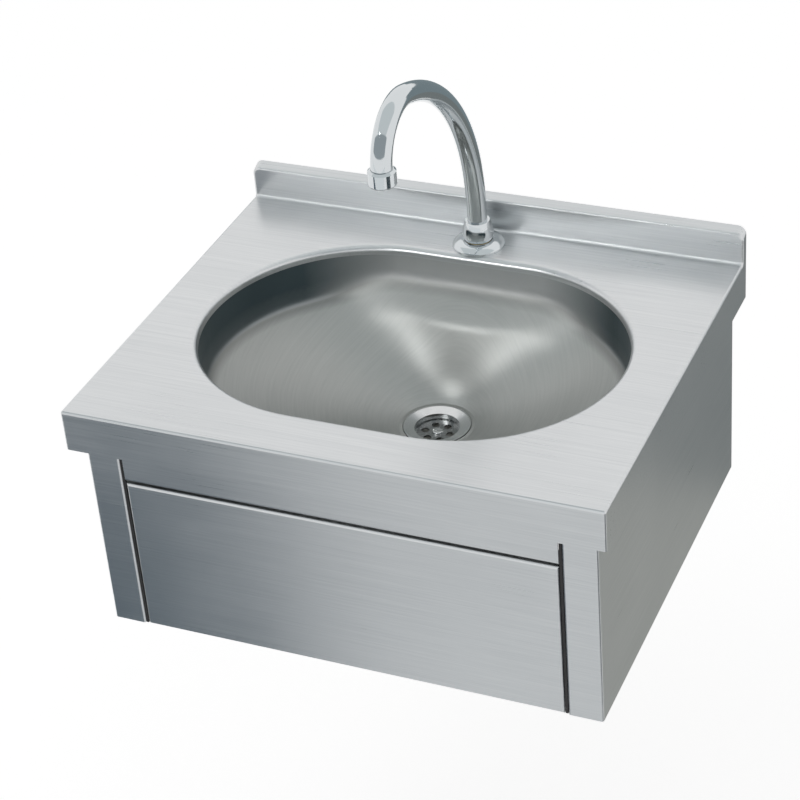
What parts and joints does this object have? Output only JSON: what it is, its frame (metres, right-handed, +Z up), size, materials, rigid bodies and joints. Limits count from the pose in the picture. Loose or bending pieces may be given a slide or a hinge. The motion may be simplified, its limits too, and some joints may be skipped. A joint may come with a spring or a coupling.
{
  "type": "knee-operated wash basin",
  "caption": "Wall-hung stainless wash basin with an oblong bowl, a swivelling swan-neck spout and a hinged front panel that a knee pushes in to open the water valve.",
  "frame": {"origin": "middle of the four wall fixing holes, on the wall plane", "axes": "+Z up, +X to the right as seen from the front, -Y out of the wall towards the user"},
  "size_m": [0.5, 0.408, 0.4753],
  "materials": {
    "brushed_sheet": "stainless sheet with a fine even grain",
    "bowl_satin": "pressed stainless with a soft satin finish",
    "galvanised_bar": "zinc coated folded steel",
    "chrome_plate": "bright polished plating",
    "polished_waste": "polished stainless pressings",
    "brass": "turned brass with a dull surface",
    "copper_pipe": "plain copper tube, slightly tarnished",
    "zinc_steel": "bright zinc plate",
    "black_rubber": "matte moulded rubber",
    "white_plastic": "moulded white plastic with a low sheen"
  },
  "bodies": {
    "basin": {"worktop": "brushed_sheet", "bowl": "bowl_satin", "left_side_panel": "brushed_sheet", "right_side_panel": "brushed_sheet", "front_rail": "brushed_sheet", "valve_crossbar": "galvanised_bar", "hinge_pins": "zinc_steel", "hinge_clips": "zinc_steel", "valve_body": "brass", "valve_head": "brass", "valve_locknut": "brass", "return_spring": "zinc_steel", "supply_pipe": "copper_pipe", "valve_outlet_nut": "brass", "tap_tail_nut": "brass", "deck_gasket": "black_rubber", "tap_rosette": "chrome_plate", "tap_shank": "brass", "swivel_nut": "chrome_plate", "shank_seal": "black_rubber", "shank_washer": "zinc_steel", "shank_backnut": "brass", "waste_flange": "polished_waste", "strainer_grid": "polished_waste", "waste_screw": "polished_waste", "waste_body": "white_plastic", "waste_top_seal": "black_rubber", "waste_bottom_seal": "black_rubber"},
    "panel": {"push_panel": "brushed_sheet", "striker_bracket": "galvanised_bar", "striker_bolt": "zinc_steel", "striker_locknut": "zinc_steel", "hinge_bushes": "white_plastic", "panel_buffers": "black_rubber"},
    "plunger": {"push_button": "brass", "piston_seal": "black_rubber"},
    "spout_arm": {"spout": "chrome_plate", "spout_o_rings": "black_rubber", "slip_ring": "white_plastic", "aerator_housing": "chrome_plate", "aerator_screen": "white_plastic", "aerator_washer": "black_rubber"}
  },
  "joints": [
    {"name": "panel_push", "type": "hinge", "parent": "basin", "child": "panel", "pos_m": [0, -0.386, 0.0415], "axis": [1, 0, 0], "range_deg": [0, 4.5], "stiffness_Nm_per_rad": 12.5, "springref_deg": -3.44},
    {"name": "plunger_slide", "type": "slide", "parent": "basin", "child": "plunger", "axis": [0, 1, 0], "range_m": [0, 0.0075], "deforming": ["return_spring"]},
    {"name": "spout_swivel", "type": "hinge", "parent": "basin", "child": "spout_arm", "pos_m": [0, -0.039, 0.15], "axis": [0, 0, 1], "range_deg": [-90, 90]}
  ],
  "couplings": [
    {"joint": "plunger_slide", "follows": "panel_push", "m_per_rad": 0.0915}
  ]
}
